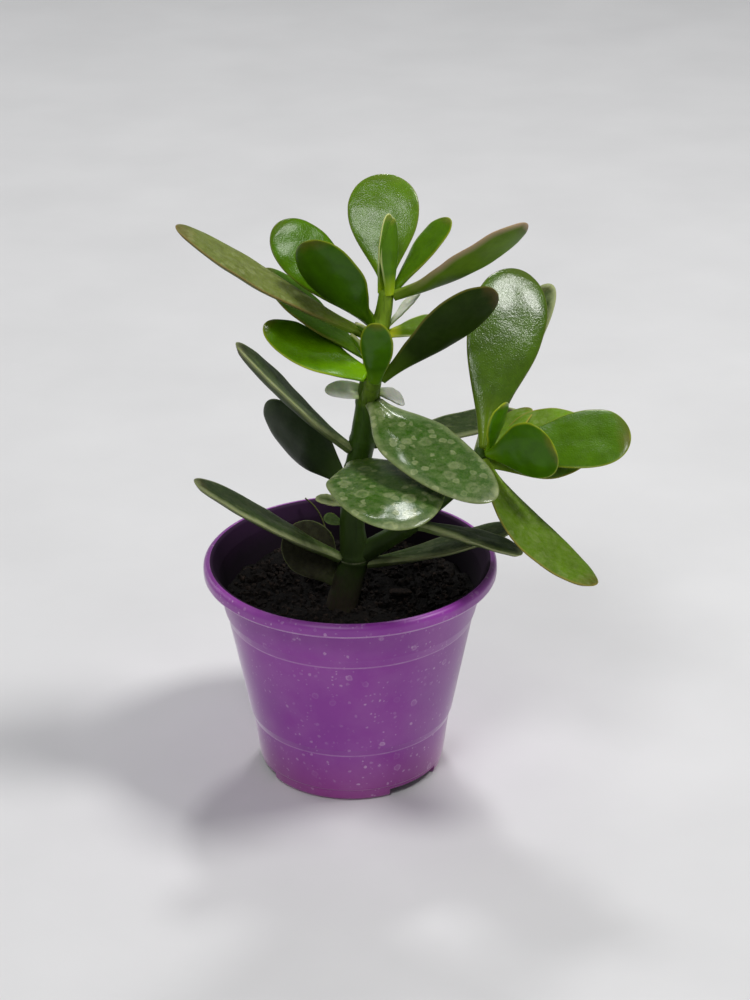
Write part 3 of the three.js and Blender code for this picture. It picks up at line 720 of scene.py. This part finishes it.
@dataclass
class Leaf:
    """One leaf. Angles are in degrees: roll turns it about its length, curl bends it towards its upper
    face, and swerve bends it to its left."""
    name: str
    stem: str
    finish: str
    height: float
    azimuth: float
    rise: float
    length: float
    width: float
    roll: float = 0
    curl: float = 5
    swerve: float = 0
    neck: float = 5.5  # width at the root
    widest: float = 0.62  # where along its length it is broadest
    cup: float = 1  # how far the margins stand above the midrib
    thick: float = 4.5
    tone: float = 1  # how light its green is beside the others of its finish

    def half_width(self, s):
        """From the midrib to the margin, at a share s of the length."""
        half = self.width / 2
        neck = self.neck / 2
        rising = neck + (half - neck) * (0.5 - 0.5 * np.cos(math.pi * s / self.widest)) ** 0.85
        past = np.clip((s - self.widest) / (1 - self.widest), 0, 1)
        return np.where(s < self.widest, rising, half * np.sqrt(1 - past ** 2.3))

    def half_thick(self, s):
        """Half the thickness at the midrib, which is greatest at about a third of the length."""
        return self.thick / 2 * np.sqrt(1 - ((s - 0.35) / 0.68) ** 4)


LEAVES = [
    # on the trunk, from the soil up
    Leaf("leaf_at_soil", "main", "withered", height=85.5, azimuth=163, rise=50, length=30, width=22,
         roll=-52, widest=0.58, thick=3, tone=0.9),
    Leaf("leaf_low_left", "main", "dusty", height=97.5, azimuth=188, rise=31, length=70, width=26,
         roll=4, neck=7.5),
    Leaf("leaf_low_right", "main", "dusty", height=95, azimuth=-4, rise=10, length=66, width=25,
         roll=-8, curl=9, swerve=16),
    Leaf("leaf_trunk_tiny", "main", "shaded", height=112.5, azimuth=178, rise=20, length=8, width=5,
         roll=-45, neck=2, thick=1.6, tone=2.2),
    Leaf("leaf_trunk_pale", "main", "dusty", height=121, azimuth=180, rise=12, length=11.5, width=6,
         roll=-18, neck=3, widest=0.5, thick=2.2, tone=1.8),
    Leaf("leaf_left_shaded", "main", "shaded", height=130.5, azimuth=164, rise=37.5, length=45,
         width=35, roll=58, curl=13, swerve=-6, neck=7, widest=0.44, tone=1.3),
    Leaf("leaf_front_broad", "main", "spotted", height=140.6, azimuth=-76, rise=18, length=66,
         width=44, roll=2, curl=-33, neck=13, widest=0.51, cup=1.5),
    Leaf("leaf_mid_left", "main", "dusty", height=145, azimuth=196, rise=42.8, length=67, width=28,
         roll=-5, curl=9, swerve=-4, cup=2, tone=1.05),
    Leaf("leaf_mid_right", "main", "dusty", height=146.5, azimuth=18, rise=-2, length=65, width=27,
         roll=-6, curl=10, swerve=10, tone=1.15),
    Leaf("leaf_front_spotted", "main", "spotted", height=166, azimuth=-61, rise=-14, length=73.5,
         width=31, roll=6, curl=-1, swerve=19, neck=8, widest=0.43),
    Leaf("leaf_pale_left", "main", "pale", height=168.5, azimuth=181, rise=10, length=14, width=8,
         roll=-40, curl=-17, neck=7, widest=0.35, thick=2.4),
    Leaf("leaf_pale_right", "main", "pale", height=168.5, azimuth=14, rise=-24, length=12.5,
         width=10.5, roll=14, curl=-10, neck=5, thick=2.4),
    Leaf("leaf_bud_yellow", "main", "bud", height=183, azimuth=205, rise=58, length=13, width=6,
         neck=3, thick=2.4),
    Leaf("leaf_behind_long", "main", "mature", height=183, azimuth=153, rise=22, length=54, width=23,
         roll=4, curl=20, thick=4, tone=1.9),
    Leaf("leaf_long_left", "main", "weathered", height=191.5, azimuth=189, rise=29, length=88.5,
         width=28, roll=-4, curl=8, swerve=-5, neck=4, widest=0.65, tone=1.1),
    Leaf("leaf_mid_small_right", "main", "bud", height=192, azimuth=-2, rise=12, length=24,
         width=12, roll=17, curl=3, neck=4.4, thick=2.6, tone=1.2),
    Leaf("leaf_sliver_right", "main", "pale", height=195.5, azimuth=12, rise=42, length=18, width=7,
         neck=2.4, thick=1.8),
    Leaf("leaf_bud_left", "main", "bud", height=192, azimuth=225, rise=40, length=12, width=5,
         neck=2.6, thick=2),
    Leaf("leaf_upper_left_back", "main", "satin", height=196, azimuth=150, rise=37, length=54,
         width=26, roll=-21, curl=12, swerve=8, widest=0.68),
    Leaf("leaf_upper_left_front", "main", "young", height=197, azimuth=208, rise=44, length=45.5,
         width=30.5, roll=29, curl=26, neck=3, thick=4, tone=0.8),
    Leaf("leaf_top_right_long", "main", "tanned", height=208, azimuth=-11, rise=20.5, length=60,
         width=26, roll=-34, curl=24, swerve=2, neck=3.6),
    Leaf("leaf_top_right_small", "main", "young", height=208.5, azimuth=31, rise=44, length=37,
         width=13, roll=6, curl=0, neck=3.4, widest=0.69, thick=3, tone=0.85),
    Leaf("leaf_top_back", "main", "glossy", height=209, azimuth=92.5, rise=57, length=47.5,
         width=28, roll=-6, curl=-7, neck=3.6, widest=0.67, thick=4, tone=1.55),
    # on the front shoot
    Leaf("leaf_shoot_small", "front", "young", height=177, azimuth=-82, rise=61, length=31,
         width=13, roll=-17, curl=16, swerve=-8, neck=5, thick=2.6, tone=0.95),
    # its tone is raised as painted light, brightening the shade that the leaves above cast on it
    Leaf("leaf_shoot_left", "front", "young", height=179, azimuth=159, rise=9.5, length=46,
         width=23, roll=-12, curl=24, neck=9, widest=0.56, thick=4, tone=1.5),
    Leaf("leaf_shoot_right", "front", "mature", height=176.5, azimuth=8, rise=41, length=57,
         width=25, roll=-63, curl=-3, swerve=9, neck=4, widest=0.66, thick=4),
    # on the side branch
    Leaf("leaf_branch_low", "side", "dusty", height=114, azimuth=-20, rise=-1, length=44, width=22,
         roll=-14, curl=-13, swerve=3, tone=1.3),
    Leaf("leaf_side_far", "side", "olive", height=142.5, azimuth=19, rise=4, length=49, width=34,
         roll=28, curl=12, widest=0.57, tone=1.35),
    Leaf("leaf_side_behind", "side", "dusty", height=144, azimuth=67, rise=34, length=86, width=22,
         roll=-24, curl=0, swerve=-6, widest=0.72, tone=1.15),
    Leaf("leaf_side_tucked", "side", "olive", height=145, azimuth=52, rise=13, length=35, width=14,
         roll=-10, neck=4, thick=2.6, tone=1.55),
    Leaf("leaf_side_hanging", "side", "olive", height=146, azimuth=-47, rise=-58, length=70,
         width=27, roll=-14, curl=50, swerve=-5, widest=0.54, tone=0.98),
    Leaf("leaf_side_right", "side", "young", height=146, azimuth=0, rise=11.5, length=58, width=29,
         roll=27, curl=-2, swerve=-6, neck=4.4, widest=0.73, thick=4, tone=0.76),
    Leaf("leaf_side_upright", "side", "glossy", height=147.3, azimuth=72, rise=60, length=79,
         width=31, roll=23, curl=-24, swerve=-12, neck=3.6, widest=0.67, thick=5, tone=0.9),
    Leaf("leaf_side_round", "side", "young", height=148, azimuth=-40, rise=12, length=32, width=25,
         roll=-78, curl=15, swerve=-8, neck=3.6, widest=0.66, thick=3),
    Leaf("leaf_side_small", "side", "young", height=148, azimuth=-26, rise=68, length=23,
         width=15.5, roll=-6, curl=12, swerve=4, neck=3.4, widest=0.66, thick=2.6, tone=1.2),
]


def heading(azimuth, rise):
    """The unit vector of a direction in degrees."""
    a = math.radians(azimuth)
    e = math.radians(rise)
    return Vector((math.cos(a) * math.cos(e), math.sin(a) * math.cos(e), math.sin(e)))


def leaf_mesh(leaf):
    """The leaf's closed skin, with attributes for its material: rim is the distance to the margin in
    mm, along runs from root to tip, under is 1 on the lower face, and tone is the leaf's own."""
    path = stem_paths[leaf.stem]
    root = Vector([np.interp(leaf.height, path[:, 2], path[:, axis]) for axis in range(3)])
    root += heading(leaf.azimuth, 0) * ROOT_DEPTH * stem_radius(leaf.stem, leaf.height)
    along = heading(leaf.azimuth, leaf.rise)
    across = Matrix.Rotation(math.radians(leaf.roll), 3, along) @ heading(leaf.azimuth + 90, 0)
    stations = np.sin(np.linspace(0.02, 0.985, LEAF_STATIONS) * math.pi / 2) ** 1.25
    widths = leaf.half_width(stations)
    thicks = leaf.half_thick(stations) * np.sqrt(np.clip((1 - stations) / TIP_SHARE, 0, 1))
    turns = np.linspace(0, 2 * math.pi, LEAF_SIDES, endpoint=False)
    x = np.cos(turns)
    top = np.sin(turns) >= 0
    body = np.where(top, UPPER_SWELL, -UNDER_SWELL)
    body = body * (1 - np.abs(x) ** 2.3) ** np.where(top, 0.62, 0.66)
    centre = root.copy()
    rings = []
    rim = [0.0]
    before = 0.0
    for s, half, thick in zip(stations, widths, thicks):
        step = s - before
        before = s
        along = Matrix.Rotation(math.radians(-leaf.curl * step), 3, across) @ along
        up = along.cross(across)
        swerve = Matrix.Rotation(math.radians(leaf.swerve * step), 3, up)
        along = swerve @ along
        across = swerve @ across
        centre += along * leaf.length * step
        lift = leaf.cup * (2 * half / leaf.width) ** 2 * x ** 2
        midrib = np.where(top, MIDRIB_DEPTH * np.exp(-(x / MIDRIB_WIDTH) ** 2) * (1 - s), 0)
        ring = []
        for k in range(LEAF_SIDES):
            spot = Vector((x[k] * half / 9, 7 * s, leaf.height + leaf.azimuth))
            wave = noise.noise(spot) * min(1.0, half / 6)
            height = thick * body[k] + lift[k] - midrib[k] + WAVE_HEIGHT * wave
            ring.append(centre + across * x[k] * half * (1 + MARGIN_WAVE * wave) + up * height)
        rings.append(ring)
        rim += list(np.minimum(half * (1 - np.abs(x)), (1 - s) * leaf.length))
    along = Matrix.Rotation(math.radians(-leaf.curl * (1 - before)), 3, across) @ along
    tip = centre + along * leaf.length * (1 - before)
    mesh = skin(leaf.name, np.array(rings), root, tip)
    values = {"rim": rim + [0.0], "along": [0.0, *np.repeat(stations, LEAF_SIDES), 1.0],
              "under": [0.0, *np.tile(~top, LEAF_STATIONS).astype(float), 0.0],
              "tone": [leaf.tone] * (len(rings) * LEAF_SIDES + 2)}
    for name, numbers in values.items():
        mesh.attributes.new(name, "FLOAT", "POINT").data.foreach_set("value", numbers)
    return mesh


def leaf_flesh(name, upper, lower, rim, foot, tip=None, dust=0.0, fringe=0.0, spots=0.0, pits=0.3,
               rough=0.5, wax=0.0, gloss=0.25, rim_width=0.8):
    """A succulent leaf: waxy skin over wet flesh. The margin has a colour of its own, which on some
    finishes is brightened as a painted glow of the light that comes through the thin edge. The foot is
    pale, and dust and dried water lie on the upper face. The colours are those of the upper face, the
    under face, the margin, the foot and the tip."""
    material, tree, place = new_material(name)
    to_rim, along, under, tone = [
        add_node(tree, "ShaderNodeAttribute", attribute_name=key, out="Fac")
        for key in ("rim", "along", "under", "tone")]
    mottle = add_node(tree, "ShaderNodeTexNoise", {"Vector": place, "Scale": 1 / 6, "Detail": 6,
                                                   "Roughness": 0.62})
    face = add_node(tree, "ShaderNodeMix", {0: under, 6: linear(upper), 7: linear(lower)}, **COLOUR_MIX)
    shade = add_node(tree, "ShaderNodeMapRange", {"Value": mottle, "From Min": 0.35, "From Max": 0.7,
                                                  "To Min": 0.84, "To Max": 1.16})
    face = add_node(tree, "ShaderNodeVectorMath", {0: face, "Scale": shade}, operation="SCALE")
    low = add_node(tree, "ShaderNodeMapRange", {"Value": along, "From Min": 0.3, "From Max": 0.02,
                                                "To Max": 0.9})
    face = add_node(tree, "ShaderNodeMix", {0: low, 6: face, 7: linear(foot)}, **COLOUR_MIX)
    end = add_node(tree, "ShaderNodeMath", {0: mottle, 1: 0.16, 2: along}, operation="MULTIPLY_ADD")
    end = add_node(tree, "ShaderNodeMapRange", {"Value": end, "From Min": 0.98, "From Max": 1.1,
                                                "To Max": 0.8})
    face = add_node(tree, "ShaderNodeMix", {0: end, 6: face, 7: linear(tip or upper)}, **COLOUR_MIX)
    # Dried water: blotches of up to 3.5 mm and a few rings of 7 mm. Dust lies between them, and in a
    # fringe along the margin. Little of either clings to the under face.
    pick = {"From Min": 0.4, "From Max": 0.8, "To Max": spots}
    film = dried_drops(tree, place, 2.4, 3, 2.2, (
        (3.8, pick, ((0.0, 0.75), (0.2, 0.6), (0.32, 0.9), (0.46, 0.0))),
        (8.5, pick, ((0.0, 0.3), (0.2, 0.3), (0.3, 0.8), (0.4, 0.0)))), randomness=0.9)
    cloud = add_node(tree, "ShaderNodeTexNoise", {"Vector": place, "Scale": 1 / 2.6, "Detail": 6,
                                                  "Roughness": 0.75})
    cloud = add_node(tree, "ShaderNodeMapRange", {"Value": cloud, "From Min": 0.38, "From Max": 0.75,
                                                  "To Max": dust})
    near = add_node(tree, "ShaderNodeMapRange", {"Value": to_rim, "From Min": 3.2, "From Max": 1,
                                                 "To Max": fringe})
    cloud = add_node(tree, "ShaderNodeMath", {0: mottle, 1: near, 2: cloud}, operation="MULTIPLY_ADD")
    film = add_node(tree, "ShaderNodeMath", {0: film, 1: cloud}, operation="ADD", use_clamp=True)
    bare = add_node(tree, "ShaderNodeMath", {0: under, 1: -0.7, 2: 1.0}, operation="MULTIPLY_ADD")
    film = add_node(tree, "ShaderNodeMath", {0: film, 1: bare}, operation="MULTIPLY")
    face = add_node(tree, "ShaderNodeMix", {0: film, 6: face, 7: linear(DRIED_WATER)}, **COLOUR_MIX)
    # The margin's colour, its own and on some finishes a painted glow of light through the thin edge,
    # grows in from the foot.
    grown = add_node(tree, "ShaderNodeMapRange", {"Value": along, "From Min": 0.12, "From Max": 0.4,
                                                  "To Max": 0.85})
    edge = add_node(tree, "ShaderNodeMapRange", {"Value": to_rim, "From Min": rim_width,
                                                 "From Max": 0.2, "To Max": grown})
    colour = add_node(tree, "ShaderNodeMix", {0: edge, 6: face, 7: linear(rim)}, **COLOUR_MIX)
    colour = add_node(tree, "ShaderNodeVectorMath", {0: colour, "Scale": tone}, operation="SCALE")
    dull = add_node(tree, "ShaderNodeMath", {0: film, 1: 0.4, 2: rough}, operation="MULTIPLY_ADD")
    # Pits of 0.6 mm in shallow dents of 4.5 mm, fainter on the under face.
    pit = add_node(tree, "ShaderNodeTexNoise", {"Vector": place, "Scale": 1 / 0.6, "Detail": 2})
    dent = add_node(tree, "ShaderNodeTexNoise", {"Vector": place, "Scale": 1 / 4.5, "Detail": 2})
    pit = add_node(tree, "ShaderNodeMath", {0: dent, 1: 1.8, 2: pit}, operation="MULTIPLY_ADD")
    depth = add_node(tree, "ShaderNodeMapRange", {"Value": under, "To Min": 1.0, "To Max": 0.35})
    relief = add_node(tree, "ShaderNodeMath", {0: pit, 1: depth}, operation="MULTIPLY")
    bump = add_node(tree, "ShaderNodeBump", {"Height": relief, "Strength": pits, "Distance": 0.0005})
    flesh = add_node(tree, "ShaderNodeBsdfPrincipled", {
        "Base Color": colour, "Roughness": dull, "IOR": 1.42, "Specular IOR Level": gloss,
        "Normal": bump, "Coat Weight": wax, "Coat Roughness": 0.13, "Subsurface Weight": 0.2,
        "Subsurface Radius": (0.7, 1.0, 0.12), "Subsurface Scale": 0.0025})
    add_node(tree, "ShaderNodeOutputMaterial", {"Surface": flesh})
    return material


LEAF_FINISHES = {
    # young: the yellow margin is partly a painted glow of light through the thin edge
    "young": leaf_flesh("young_leaf", "#527c02", "#427000", "#93a020", "#648e0a", "#6f6328",
                        pits=0.25, rough=0.3, wax=0.1, gloss=0.2),
    "glossy": leaf_flesh("glossy_leaf", "#4a6a06", "#375604", "#5f6a20", "#7f9c20", "#4f5c1c",
                         pits=0.28, rough=0.22, wax=0.15, gloss=0.5),
    "satin": leaf_flesh("satin_leaf", "#4d7606", "#3f6a02", "#5f6a20", "#7f9c20", "#4f5c1c",
                        pits=0.25, rough=0.2, wax=0.08, gloss=0.12),
    "olive": leaf_flesh("olive_leaf", "#56760c", "#3c5c08", "#8a8038", "#7a9a1c", "#5e4428",
                        dust=0.2, spots=0.15, gloss=0.08),
    "mature": leaf_flesh("mature_leaf", "#3f6208", "#243806", "#6f6c30", "#5c7c16", "#5a4428",
                         dust=0.06, rough=0.45, gloss=0.1),
    "tanned": leaf_flesh("tanned_leaf", "#6f7a34", "#5c7c18", "#b3967c", "#6f8a20", "#4a3226",
                         dust=0.1, rough=0.45, gloss=0.12, rim_width=2.6),
    # shaded: dark greens, partly painted shade, for leaves that sit in the shade of others
    "shaded": leaf_flesh("shaded_leaf", "#2c3c1c", "#1c2a12", "#3e4a2a", "#35481c", dust=0.06,
                         pits=0.2, rough=0.45, wax=0.05, gloss=0.08),
    "withered": leaf_flesh("withered_leaf", "#3c3a2c", "#2a2a20", "#6a6c54", "#3c4424", dust=0.12,
                           pits=0.2, rough=0.6, gloss=0.1, rim_width=0.5),
    # dusty: the pale margin is dust, and partly a painted highlight where the raised margins catch light
    "dusty": leaf_flesh("dusty_leaf", "#2e4412", "#22360a", "#90966c", "#46601c", "#5a5032",
                        dust=0.16, fringe=1.0, spots=0.15, gloss=0.1, rim_width=1.3),
    "spotted": leaf_flesh("spotted_leaf", "#335a0d", "#2d4c10", "#6c7846", "#4c661e", "#66704a",
                          dust=0.3, fringe=0.55, spots=0.48, pits=0.35, rough=0.36, wax=0.25,
                          gloss=0.3, rim_width=0.9),
    "weathered": leaf_flesh("weathered_leaf", "#5f6a2c", "#4c5a22", "#7a6a3c", "#7a9a1c", "#5e4428",
                            dust=0.25, spots=0.2, gloss=0.08),
    # pale: near white, partly the leaves' own pale colour and partly painted light coming through them
    "pale": leaf_flesh("pale_leaf", "#f8faea", "#f0f4dc", "#fafbf0", "#b4cc6a", pits=0.2, wax=0.1,
                       gloss=0.4),
    "closed": leaf_flesh("closed_bud_leaf", "#4f7410", "#466a0c", "#c4ca88", "#9cb41e", "#868238",
                         pits=0.2, rough=0.4, wax=0.1, rim_width=0.55),
    "bud": leaf_flesh("bud_leaf", "#6a8c12", "#5c800c", "#d4d99a", "#f2f03a", "#868238",
                      pits=0.2, rough=0.4, wax=0.1, rim_width=0.9),
}
for leaf in LEAVES:
    blade = new_object(leaf.name + "_blade", leaf_mesh(leaf), LEAF_FINISHES[leaf.finish])
    hand_over(blade, leaf.name)

# ---------------------------------------------------------------------------------------------
# Buds: the next leaf pair stands closed at the tip of the trunk, green with pale margins pressed
# together, and a yellow-green speck of new growth sits in the heart of the side branch.
TOP_BUD = [
    Leaf("bud_front", "main", "closed", height=208.5, azimuth=-52, rise=90, length=31, width=9,
         curl=9, swerve=10, neck=4.4, thick=2.4, tone=1.45),
    Leaf("bud_back", "main", "closed", height=208.5, azimuth=142, rise=92, length=33, width=9.5,
         curl=7, neck=4.4, thick=2.4, tone=1.45),
]
# The specks' tone is raised as painted light, against the shade of the branch's leaves.
SIDE_BUD = [
    Leaf("speck_left", "side", "bud", height=147, azimuth=30, rise=62, length=8, width=4, curl=8,
         neck=3, thick=2, tone=1.4),
    Leaf("speck_right", "side", "bud", height=147, azimuth=-5, rise=58, length=7, width=4, curl=8,
         neck=3, thick=2, tone=1.4),
]
for node, pair in (("bud_top", TOP_BUD), ("bud_side", SIDE_BUD)):
    meshes = [leaf_mesh(leaf) for leaf in pair]
    for mesh in meshes:
        mesh.materials.append(LEAF_FINISHES[pair[0].finish])
    hand_over(joined(node + "_pair", meshes), node)

# ---------------------------------------------------------------------------------------------
# Stage: a plain pale floor, a soft high window to the right, weaker lights high at the back and in
# front that give the leaves their gloss, and the camera at the photograph's angle.
FLOOR_REACH = 3.0  # metres from the middle to each side
FLOOR_GREY = "#dadadb"
FLOOR_PALE = "#e0e0e1"
VIEW_DISTANCE = 1.0  # metres from the middle of the rim
VIEW_RISE = 26.9
VIEW_ROLL = -0.5
RIM_HEIGHT = 93
RIM_PIXEL = (350.2, 557.0)
IMAGE_SIZE = (750, 1000)
FOCAL_PIXELS = 2446
SENSOR = 36.0  # stands for the image's longer side, its height
LIGHT_AIM = (0, 0, 0.12)
LIGHTS = [  # name, where it stands in metres, width, power in watts, colour
    ("window", (0.83, -0.12, 1.67), 0.42, 17, "#fffefc"),
    ("skylight", (0.06, 1.12, 1.7), 0.26, 9, "#ffffff"),
    ("back_left", (-1.5, 1.3, 0.85), 0.9, 5, "#ffffff"),
    ("front", (-0.5, -1.35, 2.0), 0.7, 14, "#ffffff"),
]
SKY = "#f6f8fb"
SKY_STRENGTH = 0.2


def pale_floor():
    """A smooth matt floor, with a faint cloud in its tone."""
    material, tree, place = new_material("pale_floor")
    cloud = add_node(tree, "ShaderNodeTexNoise", {"Vector": place, "Scale": 1 / 90, "Detail": 4})
    colour = add_node(tree, "ShaderNodeValToRGB", {0: cloud}, stops=[
        (0.3, linear(FLOOR_GREY)), (0.7, linear(FLOOR_PALE))])
    surface = add_node(tree, "ShaderNodeBsdfPrincipled", {"Base Color": colour, "Roughness": 0.8})
    add_node(tree, "ShaderNodeOutputMaterial", {"Surface": surface})
    return material


floor_mesh = bpy.data.meshes.new("floor")
floor_corners = [(x * FLOOR_REACH, y * FLOOR_REACH, 0) for x, y in ((-1, -1), (1, -1), (1, 1), (-1, 1))]
floor_mesh.from_pydata(floor_corners, [], [(0, 1, 2, 3)])
new_object("floor", floor_mesh, pale_floor())

for name, spot, width, power, colour in LIGHTS:
    lamp = bpy.data.lights.new(name, "AREA")
    lamp.shape = "DISK"
    lamp.size = width
    lamp.energy = power
    lamp.color = linear(colour)[:3]
    holder = bpy.data.objects.new(name, lamp)
    holder.location = spot
    holder.rotation_euler = (Vector(spot) - Vector(LIGHT_AIM)).to_track_quat("Z", "Y").to_euler()
    bpy.context.collection.objects.link(holder)

world = bpy.data.worlds.new("studio")
world.use_nodes = True
sky = world.node_tree.nodes["Background"]
sky.inputs["Color"].default_value = linear(SKY)
sky.inputs["Strength"].default_value = SKY_STRENGTH
bpy.context.scene.world = world
bpy.context.scene.view_settings.view_transform = "Standard"

# The camera first looks straight at the middle of the rim, and is then turned until that point falls
# on its pixel.
rise = math.radians(VIEW_RISE)
forward = Vector((0, math.cos(rise), -math.sin(rise)))
right = Vector((1, 0, 0))
straight = Matrix((right, right.cross(forward), forward)).transposed()
u, v = RIM_PIXEL
towards = Vector(((u - IMAGE_SIZE[0] / 2) / FOCAL_PIXELS, (IMAGE_SIZE[1] / 2 - v) / FOCAL_PIXELS, 1))
turn = Vector((0, 0, 1)).rotation_difference(towards.normalized()).to_matrix()
level = Matrix.Rotation(math.radians(VIEW_ROLL), 3, "Z")
axes = straight @ level @ turn.transposed()
pose = Matrix((axes.col[0], axes.col[1], -axes.col[2])).transposed().to_4x4()
pose.translation = Vector((0, 0, RIM_HEIGHT * MM)) - forward * VIEW_DISTANCE
lens = bpy.data.cameras.new("camera")
lens.sensor_width = SENSOR
lens.lens = FOCAL_PIXELS * SENSOR / IMAGE_SIZE[1]
camera = bpy.data.objects.new("camera", lens)
camera.matrix_world = pose
bpy.context.collection.objects.link(camera)
bpy.context.scene.camera = camera
